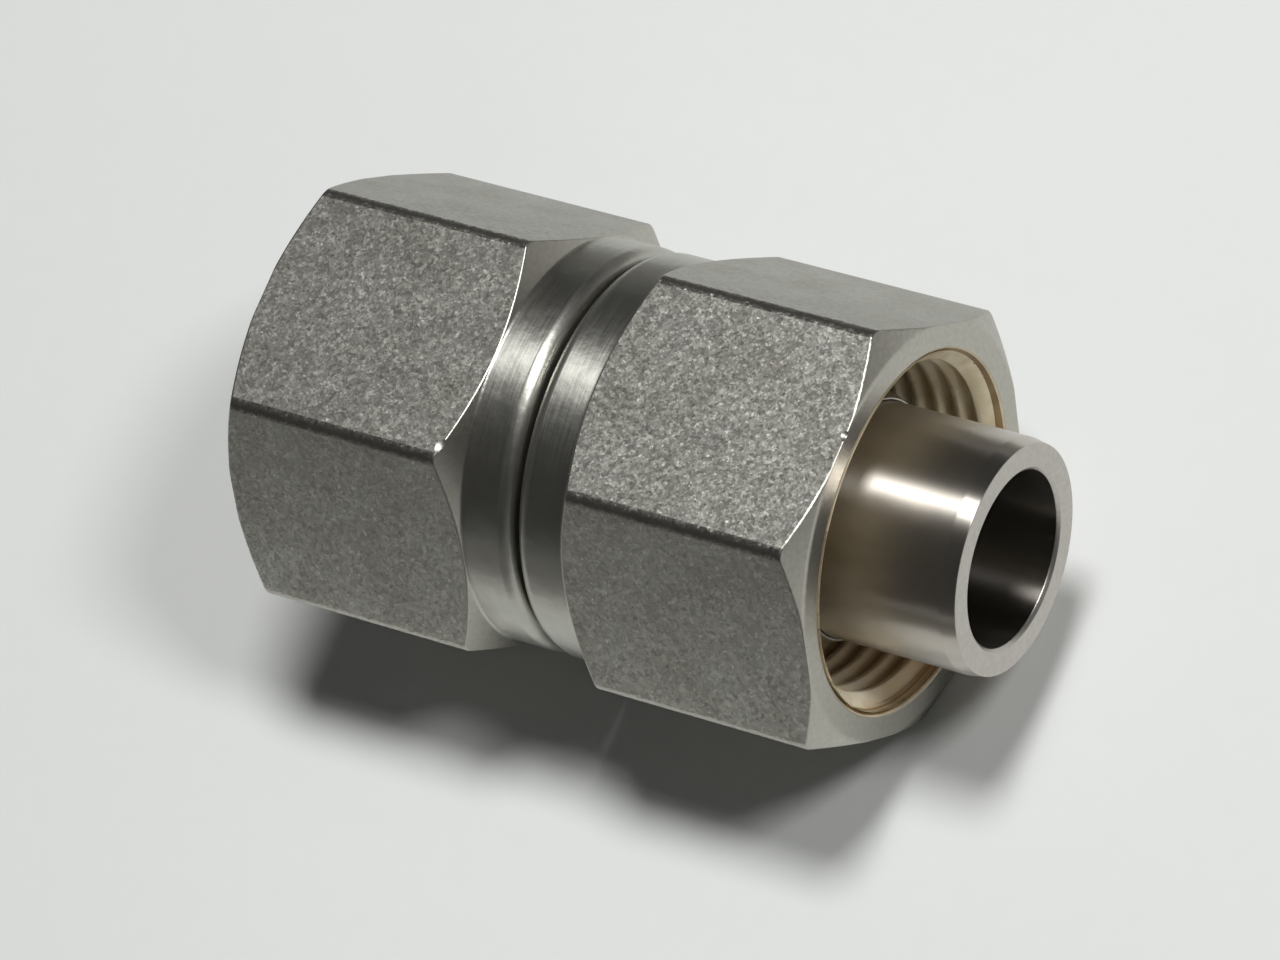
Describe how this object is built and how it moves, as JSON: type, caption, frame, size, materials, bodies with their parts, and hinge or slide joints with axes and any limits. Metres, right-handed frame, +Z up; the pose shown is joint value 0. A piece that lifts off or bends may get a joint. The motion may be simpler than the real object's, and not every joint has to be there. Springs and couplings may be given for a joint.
{
  "type": "tube port connector",
  "caption": "Short stainless tube port connector: turned through-bore connector with a plain tube end, hexagon nuts back to back on it and loose ferrules inside one nut.",
  "frame": {"origin": "under the middle of the length and width, in the plane of the bottom flats of both nuts", "axes": "+X along the tube axis towards the plain tube end, +Z up from the flats it rests on"},
  "size_m": [0.0412, 0.0256, 0.0222],
  "materials": {
    "turned_steel": "turned and polished",
    "nut_steel": "tumbled satin",
    "ferrule_steel": "turned satin"
  },
  "bodies": {
    "connector": {"connector": "turned_steel"},
    "left_nut": {"left_nut": "nut_steel"},
    "ferrule_set": {"front_ferrule": "ferrule_steel", "back_ferrule": "ferrule_steel"},
    "right_nut": {"right_nut": "nut_steel"}
  },
  "joints": [
    {"name": "left_nut_spin", "type": "hinge", "parent": "connector", "child": "left_nut", "pos_m": [-0.0115, 0, 0.01111], "axis": [1, 0, 0], "continuous": true},
    {"name": "ferrules_slide", "type": "slide", "parent": "connector", "child": "ferrule_set", "axis": [1, 0, 0], "range_m": [0, 0.023]},
    {"name": "right_nut_spin", "type": "hinge", "parent": "ferrule_set", "child": "right_nut", "pos_m": [0.006, 0, 0.01111], "axis": [1, 0, 0], "continuous": true}
  ]
}
